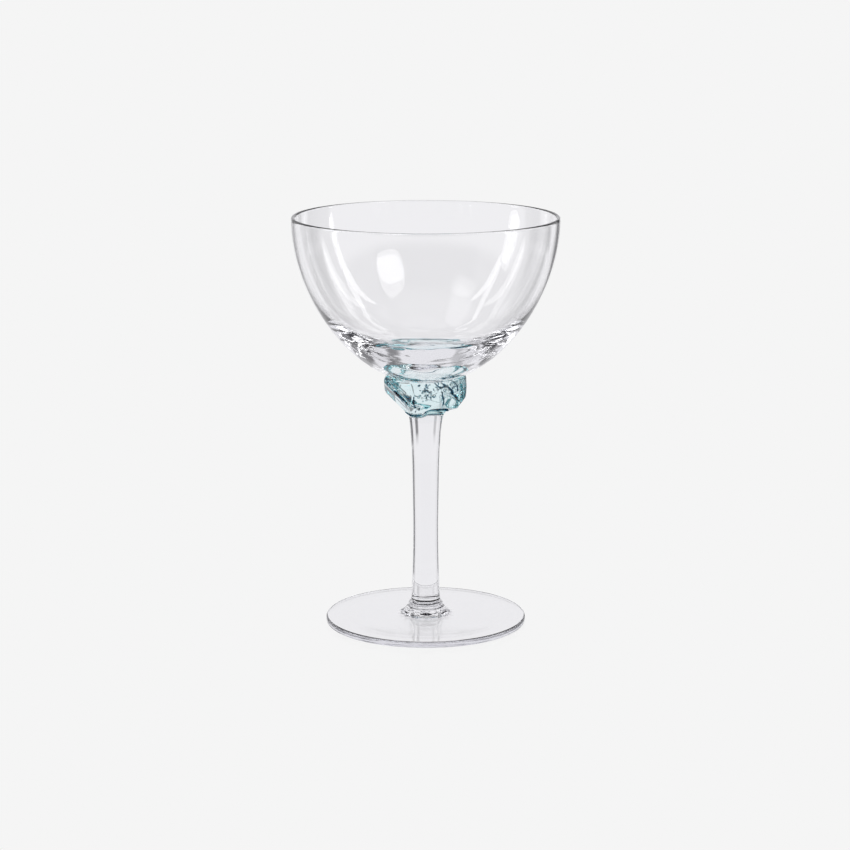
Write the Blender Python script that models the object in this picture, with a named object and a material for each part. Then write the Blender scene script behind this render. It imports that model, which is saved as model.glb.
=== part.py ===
"""Stemmed cocktail glass in four fused pieces: bowl, knop, stem and foot.

The origin is the centre of the foot's underside, +Z runs up the axis, and all sizes are metres.
Turned pieces are spun from an outline of (radius, height) points. The knop is an irregular
nugget with flat facets, hollowed on top to seat the bowl.
"""
import itertools
import math

import bmesh
import bpy
from mathutils import Matrix, Vector

# Whole glass
OVERALL_HEIGHT = 0.170
JOINT_GAP = 0.0003          # clearance between fused neighbours

# Bowl
RIM_RADIUS = 0.0547
RIM_WALL = 0.0014
BOWL_BASE_Z = 0.1013        # underside of the bowl on the axis
BOWL_BASE_REACH = 0.0294    # how far the outer curve runs flat before it climbs
BOWL_SIDE_DROP = 0.0321     # how far the outer curve stays upright below the rim
BOWL_SIDE_WALL = 0.0021     # wall low down, heavier than at the rim
BOWL_WALL_TAPER = 2         # how late the wall thins towards the rim
BOWL_FLOOR_Z = 0.1114       # inside floor on the axis, over a heavy solid base
BOWL_FLOOR_DISH = 0.053     # radius of the dish that the inside floor makes
BOWL_FLOOR_LEVEL = 0.030    # the dish would level out this far above its middle
BOWL_FLOOR_BLEND = 0.0035   # softness of the turn from the floor into the side wall
BOWL_CURVE_STEPS = 17
BOWL_SEGMENTS = 72
RIM_STEPS = 6

# Knop
KNOP_BOTTOM_Z = 0.0887
KNOP_TOP_Z = 0.1062         # corners of the uncut nugget, above the seat
KNOP_CENTER_Z = 0.0975
KNOP_FACETS = (             # azimuth from -Y and tilt of the normal in degrees, then distance
    (-42, -5, 0.0153), (-66, -35, 0.0119), (-92, -51, 0.0115), (-92, 3, 0.0171),
    (6, 9, 0.0159), (-4, -24, 0.0147), (-18, -52, 0.0120), (38, 10, 0.0158),
    (22, -48, 0.0124), (56, -20, 0.0154), (72, 8, 0.0166), (92, -2, 0.0165),
    (100, -44, 0.0130), (128, 8, 0.0164), (140, -34, 0.0136), (168, -6, 0.0160),
    (178, -46, 0.0124), (205, 12, 0.0166), (214, -30, 0.0138), (243, -2, 0.0163),
    (236, -50, 0.0122),
)
SEAT_REACH = 0.024          # radius of the bowl shape that hollows the knop's top
SEAT_SEGMENTS = 48

# Stem
STEM_BOTTOM_Z = 0.0066
STEM_TOP_Z = KNOP_BOTTOM_Z - JOINT_GAP
STEM_SEGMENTS = 40
STEM_SHAPE = (              # height above the floor, radius
    (STEM_BOTTOM_Z, 0.0066),
    (0.0073, 0.0071),
    (0.0081, 0.0068),
    (0.0089, 0.0060),
    (0.0102, 0.00585),
    (0.0127, 0.0058),
    (0.0257, 0.00533),
    (0.0386, 0.00515),
    (0.0515, 0.0053),
    (0.0685, 0.0056),
    (0.0790, 0.00615),
    (0.0840, 0.0066),
    (0.0865, 0.0071),
    (0.0878, 0.0077),
    (STEM_TOP_Z, 0.0084),
)
STEM_STEPS_PER_SPAN = 2

# Foot
FOOT_RADIUS = 0.0416
FOOT_EDGE_THICKNESS = 0.0026
FOOT_EDGE_ROUND = 0.0008    # radius of the edge's lower and upper corners
FOOT_SWELL = 0.0004         # extra thickness of the disc close to the boss
FOOT_RING_INNER = 0.0330    # flat standing ring runs from here out to the rounded edge
FOOT_KICK = 0.0008          # rise of the underside inside the standing ring
BOSS_OUTER = 0.0112
BOSS_RADIUS = 0.0071
BOSS_TOP_Z = STEM_BOTTOM_Z - JOINT_GAP
FOOT_SEGMENTS = 72
DISC_STEPS = 8
CORNER_STEPS = 3
BOSS_STEPS = 6

CLEAR_GLASS = (0.93, 0.94, 0.95, 1.0)
TURQUOISE_GLASS = (0.45, 0.80, 0.83, 1.0)
GLASS_IOR = 1.5
GLASS_ROUGHNESS = 0.02
MERGE_DISTANCE = 1e-6
PARALLEL_LIMIT = 1e-6       # three facets that meet in no single corner
CREASE_ANGLE = math.radians(40)


def clear_scene():
    for obj in list(bpy.data.objects):
        bpy.data.objects.remove(obj, do_unlink=True)


def glass_material(name, color):
    material = bpy.data.materials.new(name)
    material.use_nodes = True
    shader = material.node_tree.nodes["Principled BSDF"]
    shader.inputs["Base Color"].default_value = color
    shader.inputs["Roughness"].default_value = GLASS_ROUGHNESS
    shader.inputs["Metallic"].default_value = 0.0
    shader.inputs["IOR"].default_value = GLASS_IOR
    shader.inputs["Transmission Weight"].default_value = 1.0
    material.diffuse_color = color
    return material


def bezier(p0, p1, p2, p3, steps):
    """Points along a cubic curve through p0 and p3, both ends included."""
    points = []
    for i in range(steps + 1):
        t = i / steps
        s = 1.0 - t
        weights = (s * s * s, 3 * s * s * t, 3 * s * t * t, t * t * t)
        r = sum(w * p[0] for w, p in zip(weights, (p0, p1, p2, p3)))
        z = sum(w * p[1] for w, p in zip(weights, (p0, p1, p2, p3)))
        points.append((r, z))
    return points


def arc(center, radius, start, end, steps):
    """Points on a circle in the outline's plane, from angle start to angle end in degrees."""
    points = []
    for i in range(steps + 1):
        angle = math.radians(start + (end - start) * i / steps)
        points.append((center[0] + radius * math.cos(angle), center[1] + radius * math.sin(angle)))
    return points


def smooth_through(stations, steps):
    """Catmull-Rom curve through (height, radius) stations, returned as (radius, height) points."""
    first = tuple(2 * a - b for a, b in zip(stations[0], stations[1]))
    last = tuple(2 * a - b for a, b in zip(stations[-1], stations[-2]))
    knots = [first, *stations, last]
    points = []
    for k in range(1, len(knots) - 2):
        for i in range(steps):
            t = i / steps
            weights = (
                (-t + 2 * t * t - t * t * t) / 2,
                (2 - 5 * t * t + 3 * t * t * t) / 2,
                (t + 4 * t * t - 3 * t * t * t) / 2,
                (-t * t + t * t * t) / 2,
            )
            span = knots[k - 1:k + 3]
            height = sum(w * p[0] for w, p in zip(weights, span))
            radius = sum(w * p[1] for w, p in zip(weights, span))
            points.append((radius, height))
    points.append((stations[-1][1], stations[-1][0]))
    return points


def finish_mesh(bm, name):
    bmesh.ops.remove_doubles(bm, verts=bm.verts, dist=MERGE_DISTANCE)
    bmesh.ops.recalc_face_normals(bm, faces=bm.faces)
    mesh = bpy.data.meshes.new(name)
    bm.to_mesh(mesh)
    bm.free()
    return mesh


def turned_mesh(name, outline, segments):
    """Spin an outline that starts and ends on the axis into one closed, smooth-shaded mesh."""
    bm = bmesh.new()
    verts = [bm.verts.new((r, 0.0, z)) for r, z in outline]
    edges = [bm.edges.new(pair) for pair in zip(verts, verts[1:])]
    bmesh.ops.spin(
        bm, geom=verts + edges, cent=(0, 0, 0), axis=(0, 0, 1),
        angle=math.tau, steps=segments, use_merge=True)
    mesh = finish_mesh(bm, name)
    mesh.shade_smooth()
    mesh.set_sharp_from_angle(angle=CREASE_ANGLE)
    return mesh


def add_object(name, mesh, parent):
    obj = bpy.data.objects.new(name, mesh)
    bpy.context.scene.collection.objects.link(obj)
    obj.parent = parent
    return obj


def bowl_outer_curve(steps):
    """Outer wall from the axis to just below the rounded rim."""
    rim_z = OVERALL_HEIGHT - RIM_WALL / 2
    return bezier(
        (0.0, BOWL_BASE_Z), (BOWL_BASE_REACH, BOWL_BASE_Z),
        (RIM_RADIUS, rim_z - BOWL_SIDE_DROP), (RIM_RADIUS, rim_z), steps)


def smooth_max(a, b, blend):
    return (a + b + math.hypot(a - b, blend)) / 2


def levelled(height, limit):
    """The height itself where it is small, bending over to level out at the limit."""
    return (height ** -3 + limit ** -3) ** (-1 / 3)


def bowl_inner_curve(steps):
    """Inner wall from the axis to the rim: the outer curve moved in, over a dished floor."""
    outer = bowl_outer_curve(steps)
    middle_z = smooth_max(BOWL_FLOOR_Z, BOWL_BASE_Z + BOWL_SIDE_WALL, BOWL_FLOOR_BLEND)
    points = [(0.0, middle_z)]
    for i in range(1, steps):
        along = Vector(outer[i + 1]) - Vector(outer[i - 1])
        along.normalize()
        wall = BOWL_SIDE_WALL + (RIM_WALL - BOWL_SIDE_WALL) * (i / steps) ** BOWL_WALL_TAPER
        r = outer[i][0] - along.y * wall
        side_z = outer[i][1] + along.x * wall
        floor_z = BOWL_FLOOR_Z + levelled(r * r / (2 * BOWL_FLOOR_DISH), BOWL_FLOOR_LEVEL)
        points.append((r, smooth_max(floor_z, side_z, BOWL_FLOOR_BLEND)))
    points.append((RIM_RADIUS - RIM_WALL, outer[steps][1]))
    return points


def build_bowl(parent):
    rim_center = (RIM_RADIUS - RIM_WALL / 2, OVERALL_HEIGHT - RIM_WALL / 2)
    rim = arc(rim_center, RIM_WALL / 2, 0, 180, RIM_STEPS)
    inner = bowl_inner_curve(BOWL_CURVE_STEPS)
    outline = bowl_outer_curve(BOWL_CURVE_STEPS)[:-1] + rim + inner[-2::-1]
    bowl = add_object("bowl", turned_mesh("bowl", outline, BOWL_SEGMENTS), parent)
    bowl.data.materials.append(glass_material("clear_bowl_glass", CLEAR_GLASS))
    return bowl


def facet_planes():
    """Outward normal and distance from the origin of each facet, with the flat top and bottom."""
    planes = [(Vector((0, 0, 1)), KNOP_TOP_Z), (Vector((0, 0, -1)), -KNOP_BOTTOM_Z)]
    for azimuth, tilt, distance in KNOP_FACETS:
        a, t = math.radians(azimuth), math.radians(tilt)
        normal = Vector((math.sin(a) * math.cos(t), -math.cos(a) * math.cos(t), math.sin(t)))
        planes.append((normal, distance + normal.z * KNOP_CENTER_Z))
    return planes


def nugget_mesh(name):
    """Flat-faceted nugget: the solid that lies inside every facet's plane."""
    planes = facet_planes()
    bm = bmesh.new()
    for trio in itertools.combinations(planes, 3):
        normals = Matrix([normal for normal, _ in trio])
        if abs(normals.determinant()) < PARALLEL_LIMIT:
            continue
        corner = normals.inverted() @ Vector([offset for _, offset in trio])
        if all(normal.dot(corner) < offset + MERGE_DISTANCE for normal, offset in planes):
            bm.verts.new(corner)
    bmesh.ops.remove_doubles(bm, verts=bm.verts, dist=MERGE_DISTANCE)
    bmesh.ops.convex_hull(bm, input=bm.verts)
    return finish_mesh(bm, name)


def seat_mesh(name):
    """The bowl's underside, lowered by the joint gap and closed above the knop."""
    reach = [p for p in bowl_outer_curve(BOWL_CURVE_STEPS) if p[0] < SEAT_REACH]
    lowered = [(r, z - JOINT_GAP) for r, z in reach]
    lid_z = KNOP_TOP_Z + (KNOP_TOP_Z - BOWL_BASE_Z)
    outline = lowered + [(lowered[-1][0], lid_z), (0.0, lid_z)]
    return turned_mesh(name, outline, SEAT_SEGMENTS)


def build_knop(parent):
    knop = add_object("knop", nugget_mesh("knop"), parent)
    seat = add_object("seat_cutter", seat_mesh("seat_cutter"), parent)
    seat.hide_render = True
    seat.display_type = "WIRE"
    cut = knop.modifiers.new("bowl_seat", "BOOLEAN")
    cut.operation = "DIFFERENCE"
    cut.solver = "EXACT"
    cut.object = seat
    knop.data.materials.append(glass_material("turquoise_knop_glass", TURQUOISE_GLASS))
    return knop


def build_stem(parent):
    side = smooth_through(STEM_SHAPE, STEM_STEPS_PER_SPAN)
    outline = [(0.0, STEM_BOTTOM_Z)] + side + [(0.0, STEM_TOP_Z)]
    stem = add_object("stem", turned_mesh("stem", outline, STEM_SEGMENTS), parent)
    stem.data.materials.append(glass_material("clear_stem_glass", CLEAR_GLASS))
    return stem


def foot_under(r):
    """Underside of the foot: flat standing ring, and a shallow kick inside it."""
    inward = max(1 - (r / FOOT_RING_INNER) ** 2, 0.0)
    return FOOT_KICK * inward ** 2


def foot_top(r):
    """Top of the disc, nearly parallel to the underside and a little thicker at the boss."""
    inward = max(1 - (r / FOOT_RING_INNER) ** 2, 0.0)
    return foot_under(r) + FOOT_EDGE_THICKNESS + FOOT_SWELL * inward


def build_foot(parent):
    flare = FOOT_EDGE_THICKNESS / 2
    side = FOOT_RADIUS - FOOT_EDGE_ROUND
    inner = [FOOT_RING_INNER * i / DISC_STEPS for i in range(DISC_STEPS + 1)]
    under = [(r, foot_under(r)) for r in inner]
    low = arc((side, FOOT_EDGE_ROUND), FOOT_EDGE_ROUND, -90, 0, CORNER_STEPS)
    high = arc(
        (side, FOOT_EDGE_THICKNESS - FOOT_EDGE_ROUND), FOOT_EDGE_ROUND, 0, 90, CORNER_STEPS)
    top = [(r, foot_top(r)) for r in reversed(inner) if r > BOSS_OUTER]
    root_z = foot_top(BOSS_OUTER)
    boss = bezier(
        (BOSS_OUTER, root_z), (BOSS_RADIUS + flare, root_z),
        (BOSS_RADIUS + flare, BOSS_TOP_Z), (BOSS_RADIUS, BOSS_TOP_Z), BOSS_STEPS)
    outline = under + low + high + top + boss + [(0.0, BOSS_TOP_Z)]
    foot = add_object("foot", turned_mesh("foot", outline, FOOT_SEGMENTS), parent)
    foot.data.materials.append(glass_material("clear_foot_glass", CLEAR_GLASS))
    return foot


def main():
    clear_scene()
    glass = add_object("cocktail_glass", None, None)
    build_bowl(glass)
    build_knop(glass)
    build_stem(glass)
    build_foot(glass)


main()
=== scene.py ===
"""Looks of the stemmed cocktail glass: four fused glass pieces in a plain pale studio.

The CAD nodes give every place and size. Each piece is rebuilt here as a fine mesh with the
small unevenness of hand-worked glass, and replaces its CAD node. Metres, +Z up, and the
camera looks along +Y.
"""
import math

import bmesh
import bpy
import numpy as np
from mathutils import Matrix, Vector


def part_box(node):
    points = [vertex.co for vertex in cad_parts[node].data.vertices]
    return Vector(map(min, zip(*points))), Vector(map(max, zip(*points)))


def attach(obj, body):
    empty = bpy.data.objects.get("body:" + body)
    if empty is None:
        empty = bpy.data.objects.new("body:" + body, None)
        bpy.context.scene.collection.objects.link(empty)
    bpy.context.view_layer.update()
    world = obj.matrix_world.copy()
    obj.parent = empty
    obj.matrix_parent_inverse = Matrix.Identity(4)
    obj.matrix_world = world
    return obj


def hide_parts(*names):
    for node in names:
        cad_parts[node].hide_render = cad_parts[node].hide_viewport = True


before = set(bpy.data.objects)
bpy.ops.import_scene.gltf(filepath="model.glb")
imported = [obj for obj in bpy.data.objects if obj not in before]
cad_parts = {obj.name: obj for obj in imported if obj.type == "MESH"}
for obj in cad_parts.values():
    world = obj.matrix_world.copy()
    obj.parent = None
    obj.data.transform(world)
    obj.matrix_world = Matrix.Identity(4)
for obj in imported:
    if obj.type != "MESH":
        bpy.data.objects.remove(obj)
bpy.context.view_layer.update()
BODY = "root"

BOWL_LOW, BOWL_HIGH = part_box("bowl")
_, FOOT_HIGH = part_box("foot")

# Camera
CAMERA_DISTANCE = 1.0008
CAMERA_HEIGHT = 0.2963
CAMERA_SIDE = -0.0003
CAMERA_PITCH_DOWN = math.radians(12.013)
CAMERA_LENS = 104.95
CAMERA_SENSOR = 36.0
CAMERA_CLIP = (0.01, 50.0)

# Bowl
RIM_RADIUS = BOWL_HIGH.x
RIM_Z = BOWL_HIGH.z
BOWL_BASE_Z = BOWL_LOW.z
RIM_WALL = 0.0014
SIDE_WALL = 0.0021
WALL_TAPER = 2              # how late the wall thins towards the rim
FLOOR_RISE = 0.0101         # inside floor above the bowl's underside, on the axis
FLOOR_DISH = 0.053          # radius of the floor's curve
FLOOR_LEVEL = 0.0300        # the dish would level out this far above its middle
FLOOR_BLEND = 0.0035        # how softly the floor turns into the side
BASE_REACH = 0.0294         # handles of the outside curve: out from the axis, down from the rim
SIDE_DROP = 0.0321
OUTLINE_STEPS = 400         # steps of the outside curve where other pieces look it up
NEAR_AXIS = 1e-6            # keeps the floor's formula off the axis itself
BOWL_STEPS = 110
BOWL_SEGMENTS = 288
RIM_STEPS = 12
RIPPLE_REACH = 0.0400       # ripples in the base fade out this far from the axis
RIPPLE_FADE = 0.0120
RIPPLE_INSIDE = 0.00009
RIPPLE_OUTSIDE = 0.00006
RIPPLE_SHIFT = (0.011, -0.007)   # the underside's ripples are the floor's, moved by this much
RIPPLE_BARE = 0.0195        # the underside has none where the knop covers it
RIPPLE_BARE_FADE = 0.0040
# Waves of the ripples: share, waves across and front to back in radians per metre, phase, and
# how much of the bend moves them. The bend is made of waves too.
RIPPLES = (
    (0.45, 330, 620, 0.4, 1),
    (0.40, -260, 780, 1.9, 1),
    (0.22, 180, 1240, -0.8, 2),
    (0.20, 800, -240, 2.6, 0),
)
RIPPLE_BEND = (
    (0.5, 0, 300, 0.7, 0),
    (0.4, 240, 0, 2.1, 0),
)
LEAN = 0.00006              # the rim is out of round by this much
LEAN_PHASE = 0.6
LEAN_RISE = 0.06            # height above the bowl's base at which the lean is full
LEAN_CLEAR = 0.01           # the lean tapers off closer to the axis than this
INNER_SHARE = 0.6           # points this share of the wall above the underside are inside

# Knop and joints
KNOP_CENTER_Z = 0.0975
KNOP_SEGMENTS = 300
KNOP_ROWS = 120
CAP_ROWS = 24
JOINT_RADIUS = 0.0089
JOINT_Z = 0.0892
JOINT_SWING = (0.0003, 0.0001)   # swing of the joint's radius, once and twice round
JOINT_SWING_PHASE = 1.0
JOINT_PEAK = 0.0024         # the joint's rise at the front
JOINT_PEAK_AT = 22          # azimuth of the rise in degrees, then where it starts and ends
JOINT_PEAK_FROM = -0.42     # in radians from there, and how softly
JOINT_PEAK_TO = 0.85
JOINT_PEAK_FROM_SOFT = 0.07
JOINT_PEAK_TO_SOFT = 0.16
JOINT_DIP = 0.0003
JOINT_DIP_AT = -38
JOINT_DIP_WIDTH = 0.5
JOINT_WAVE = 0.00015        # small wave, three times round
JOINT_WAVE_PHASE = 0.5
KNOP_REACH = 0.0145         # usual distance of the skin from the axis
SKIN_GAP = 0.00001          # hair's breadth between fused faces
CONTACT = 0.0001            # points this close to a fused face count as on it
# Values of the "fused" attribute: its sign says which faces have no boundary
FUSED = 0.008
NOT_FUSED = -0.001
FREE_SKIN = 0.005           # how far below zero it falls half way up the knop

# Stem
STEM_SEGMENTS = 128
STEM_STEPS = 14
STEM_BEAD_Z = 0.0064
COLLAR_Z = 0.080            # from here up the stem follows the wavy joint
CAP_CATCH = 0.0004          # points this close under the stem's top count as fused
ROUNDING = 1e-9             # slack for rounding errors
# Height and radius up the stem
STEM_SHAPE = (
    (STEM_BEAD_Z, 0.0066),
    (0.0072, 0.0071),
    (0.0080, 0.0069),
    (0.0088, 0.0059),
    (0.0094, 0.0061),
    (0.0102, 0.00585),
    (0.0127, 0.0058),
    (0.0257, 0.00533),
    (0.0386, 0.00515),
    (0.0515, 0.00530),
    (0.0685, 0.00560),
    (0.0790, 0.00615),
    (0.0840, 0.00660),
    (0.0865, 0.0070),
    (0.0878, 0.0074),
    (0.0887, 0.0080),
    (JOINT_Z, JOINT_RADIUS),
)

# Dark lines of painted shade in the stem's end and the boss, for the shade of its grooves:
# azimuths from and to, height, distance from the axis, half thickness
PAINTED_SHADE_LINES = (
    (-86, 88, 0.0093, 0.0055, 0.00024),
    (-60, 84, 0.0080, 0.0062, 0.00026),
    (100, 262, 0.0092, 0.0055, 0.00020),
    (-16, 18, 0.0044, 0.0084, 0.00060),
    (-78, -52, 0.0042, 0.0090, 0.00030),
    (44, 74, 0.0043, 0.0090, 0.00034),
    (140, 200, 0.0042, 0.0088, 0.00030),
)
SHADE_LINE_WAVE = 0.00010         # height of their waves, how many there are round the stem, and
SHADE_LINE_WAVES = 7              # radians per metre by which each line's height moves its waves
SHADE_LINE_PHASE = 9000

# Foot
FOOT_RADIUS = FOOT_HIGH.x
FOOT_EDGE = 0.0026          # thickness at the edge
FOOT_SWELL = 0.0004         # extra thickness of the foot close to the boss
FOOT_RING_INNER = 0.0330    # inside of the ring that it stands on
FOOT_KICK = 0.0008          # hollow under the middle
FOOT_ROUND = 0.0008         # radius of the edge's two corners
BOSS_OUTER = 0.0112
BOSS_RADIUS = 0.0071
LUMP_RADIUS = 0.0096        # ring of small lumps where the boss spreads into the foot
LUMP_REACH = 0.0011
LUMP_HEIGHT = 0.00035
LUMPS = ((0.6, 13, 0.5), (0.4, 21, 1.3))    # share, how many round the ring, phase
FOOT_SEGMENTS = 288
EDGE_STEPS = 12

# Glass
CLEAR_TINT = (0.94, 0.94, 0.955)
TURQUOISE_TINT = (0.10, 0.84, 0.90)
LINE_PAINTED_SHADE = (0.20, 0.19, 0.21)       # painted shade: light left by each skin of a dark line in the stem's end
THREAD_PAINTED_SHADE = (0.02, 0.26, 0.36)       # painted shade: light left by each skin of a knop thread, for the knop's dark lines
GLASS_IOR = 1.5
FUSED_IOR = 1.0002          # almost 1, so that a fused face can't be seen
CORD_SCALE = (90, 90, 45)   # faint cords: how closely they lie along each axis
CORD_DETAIL = 3.0
CORD_HEIGHT = 0.001

# Light
# Cards of light: azimuth and elevation from the bowl in degrees, distance, width, height,
# strength, and the share of the edge that fades out. Azimuth 0 is the front, 90 is +X.
CARDS = (
    ("strip_right", 97, 26, 1.0, 0.11, 1.08, 4.0, 0.1),
    ("strip_right_back", 116, 27, 1.0, 0.17, 0.80, 2.4, 0.5),
    ("strip_left", -90, 11, 1.0, 0.25, 0.48, 3.0, 0.1),
    ("strip_left_high", -84, 38, 1.0, 0.09, 0.60, 4.5, 0.2),
    ("strip_left_back", -109, 28, 1.0, 0.15, 0.80, 2.4, 0.5),
    ("ceiling", 0, 90, 1.2, 1.9, 1.9, 0.80, 1.0),
    ("softbox_right", 42, 38, 1.3, 0.60, 0.50, 3.0, 0.3),
    ("softbox_left", -56, 50, 1.3, 0.66, 0.42, 1.8, 1.0),
)
CARDS_FACE = Vector((0, 0, 0.13))    # the place in the bowl that every card faces
CARD_ROUNDING = 3.0         # 2 is an ellipse, higher is squarer
PALE = (0.913, 0.913, 0.913)     # the pale backdrop and table as they are seen directly
PALE_IN_GLASS = (0.868, 0.864, 0.886)    # the same, as it falls into the glass
ROOM = (0.030, 0.030, 0.036)     # the dark rest of the room
BACKDROP_TOP = 0.50         # sine of the backdrop's top edge above the horizon
BACKDROP_TOP_SOFT = 0.05
BACKDROP_SIDE = (0.20, 0.45)     # its sides fade in between these, as cosines from +Y
HORIZON_GLOW = (0.44, 0.30)      # all round the room is pale below the second of these sines
# Shaded parts of the room: azimuth from +Y towards +X and half width in degrees, then depth
NEAR_SHADES = ((-69.0, 13.0, 0.90), (65.0, 16.0, 0.88), (180.0, 44.0, 0.28))
FAR_SHADES = ((-66.0, 12.0, 0.95), (64.0, 18.0, 0.95), (-25.0, 3.0, 0.40), (25.0, 4.0, 0.80))
SHADE_SOFT = 3.0            # degrees over which a shade's edge fades, to each side
SHADE_REACH = 0.48          # the near shades on the table are full out to here
SHADE_FADE = 0.20           # and give way to the far ones over this much
TABLE_HALF = 6.0
TABLE_DROP = 0.00005        # the foot stands this far above the table
TABLE_LIT = 0.050           # the table is lit all round the foot out to this radius
TABLE_LIT_FADE = 1.2        # the shades are full from this many times it
TABLE_UNDER = 0.95          # share of that light left under the foot
SHEEN_NEAR = 0.03           # how much the table mirrors beside the foot
SHEEN_REACH = 0.110         # the mirroring ends this far out


# ---------------------------------------------------------------- outlines

def bezier(p0, p1, p2, p3, steps):
    t = np.linspace(0, 1, steps + 1)[:, None]
    s = 1 - t
    points = (np.array(p) for p in (p0, p1, p2, p3))
    weights = (s ** 3, 3 * s * s * t, 3 * s * t * t, t ** 3)
    return sum(w * p for w, p in zip(weights, points))


def arc(center, radius, start, end, steps):
    angle = np.radians(np.linspace(start, end, steps + 1))
    return np.stack([center[0] + radius * np.cos(angle), center[1] + radius * np.sin(angle)], 1)


def smooth_through(stations, steps):
    """Catmull-Rom curve through (height, radius) stations, returned as (radius, height)."""
    knots = np.array(stations)
    knots = np.vstack([2 * knots[0] - knots[1], knots, 2 * knots[-1] - knots[-2]])
    t = np.linspace(0, 1, steps, endpoint=False)[:, None]
    spans = []
    for a, b, c, d in zip(knots, knots[1:], knots[2:], knots[3:]):
        spans.append((2 * b + (c - a) * t + (2 * a - 5 * b + 4 * c - d) * t ** 2
                      + (3 * b - a - 3 * c + d) * t ** 3) / 2)
    curve = np.vstack(spans + [knots[-2:-1]])
    return curve[:, ::-1]


def smooth_max(a, b, blend):
    return (a + b + np.hypot(a - b, blend)) / 2


def bowl_outer(steps):
    rim_z = RIM_Z - RIM_WALL / 2
    return bezier((0, BOWL_BASE_Z), (BASE_REACH, BOWL_BASE_Z),
                  (RIM_RADIUS, rim_z - SIDE_DROP), (RIM_RADIUS, rim_z), steps)


BOWL_OUTER = bowl_outer(OUTLINE_STEPS)


def bowl_under_z(r):
    """Height of the bowl's underside at a distance from the axis."""
    return np.interp(r, BOWL_OUTER[:, 0], BOWL_OUTER[:, 1])


def bowl_inner(steps):
    outer = bowl_outer(steps)
    along = np.gradient(outer, axis=0)
    along /= np.linalg.norm(along, axis=1)[:, None]
    share = np.linspace(0, 1, steps + 1)
    wall = SIDE_WALL + (RIM_WALL - SIDE_WALL) * share ** WALL_TAPER
    r = outer[:, 0] - along[:, 1] * wall
    side_z = outer[:, 1] + along[:, 0] * wall
    dish = np.maximum(r, NEAR_AXIS) ** 2 / (2 * FLOOR_DISH)
    floor_z = BOWL_BASE_Z + FLOOR_RISE + (dish ** -3 + FLOOR_LEVEL ** -3) ** (-1 / 3)
    z = smooth_max(floor_z, side_z, FLOOR_BLEND)
    r[0] = 0
    r[-1] = RIM_RADIUS - RIM_WALL
    z[-1] = outer[-1, 1]
    return np.stack([r, z], 1)


# ---------------------------------------------------------------- meshes

def make_object(name, verts, faces, fused):
    mesh = bpy.data.meshes.new(name)
    mesh.from_pydata([tuple(v) for v in verts], [], faces)
    mesh.validate()
    mesh.shade_smooth()
    layer = mesh.attributes.new("fused", "FLOAT", "POINT")
    layer.data.foreach_set("value", np.asarray(fused, np.float32))
    obj = bpy.data.objects.new(name, mesh)
    bpy.context.scene.collection.objects.link(obj)
    return obj


def ring_faces(rows, segments):
    """Faces of a tube of vertex rows, with a pole before the first row and after the last."""
    faces = []
    for j in range(segments):
        k = (j + 1) % segments
        faces.append((0, 1 + k, 1 + j))
    for i in range(rows - 1):
        a, b = 1 + i * segments, 1 + (i + 1) * segments
        for j in range(segments):
            k = (j + 1) % segments
            faces.append((a + j, a + k, b + k, b + j))
    last = 1 + rows * segments
    a = last - segments
    for j in range(segments):
        k = (j + 1) % segments
        faces.append((a + j, a + k, last))
    return faces


def turned(name, outline, segments, warp=None, fused=None):
    """Spin an outline that starts and ends on the axis. It runs up the outside, so faces look out."""
    theta = np.arange(segments) * math.tau / segments
    r, z = outline[1:-1, 0:1], outline[1:-1, 1:2]
    grid = on_rows(np.stack(np.broadcast_arrays(r, z + 0 * theta), 2), theta)
    verts = np.vstack([[0, 0, outline[0, 1]], grid, [0, 0, outline[-1, 1]]])
    if warp is not None:
        verts = warp(verts)
    value = np.full(len(verts), NOT_FUSED) if fused is None else fused(verts)
    return make_object(name, verts, ring_faces(len(outline) - 2, segments), value)


def azimuth_of(verts):
    """Angle round the axis, 0 at the front and growing towards +X."""
    return np.arctan2(verts[:, 0], -verts[:, 1])


def turn_from(theta, azimuth):
    """Angle from an azimuth in degrees, at most half a turn to either side."""
    return np.angle(np.exp(1j * (theta - math.radians(azimuth))))


def around(theta, r, z):
    return np.stack([r * np.sin(theta), -r * np.cos(theta), z], 1)


def on_rows(rows, theta):
    """Points from rows of radius and height, one pair for each azimuth."""
    r, z = rows[:, :, 0], rows[:, :, 1]
    return np.stack([r * np.sin(theta), -r * np.cos(theta), z], 2).reshape(-1, 3)


def scaled_across(verts, scale):
    """Vertices moved away from the axis by a factor each."""
    return verts * np.stack([scale, scale, np.ones_like(scale)], 1)


# ---------------------------------------------------------------- knop

# Flat facets of the nugget: azimuth and tilt of the facet's normal in degrees, then its
# distance from the nugget's centre. Azimuth 0 is the front.
FACETS = (
    (-42, -5, 0.0153), (-66, -35, 0.0119), (-92, -51, 0.0115), (-92, 3, 0.0171),
    (6, 9, 0.0159), (-4, -24, 0.0147), (-18, -52, 0.0120), (38, 10, 0.0158),
    (22, -48, 0.0124), (54, -14, 0.0142), (72, 8, 0.0166), (92, -2, 0.0165), (100, -44, 0.0130),
    (128, 8, 0.0164), (140, -34, 0.0136), (168, -6, 0.0160), (178, -46, 0.0124),
    (205, 12, 0.0166), (214, -30, 0.0138), (243, -2, 0.0163), (236, -50, 0.0122),
)
FACET_ROUND = 0.00014       # rounding of the edges between facets
FACET_GRAZE = 0.02          # facets that are turned away count as turned by this cosine,
FACET_FAR = 0.05            # and as this far from the axis at most
# Rounded lobes: azimuth, distance from the axis, height, then radius across and radius up
LOBES = (
    (58, 0.0114, 0.0950, 0.0046, 0.0047),
    (118, 0.0086, 0.0940, 0.0064, 0.0050),
    (-150, 0.0088, 0.0945, 0.0064, 0.0052),
)
LOBE_BLEND = 0.0002
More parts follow.
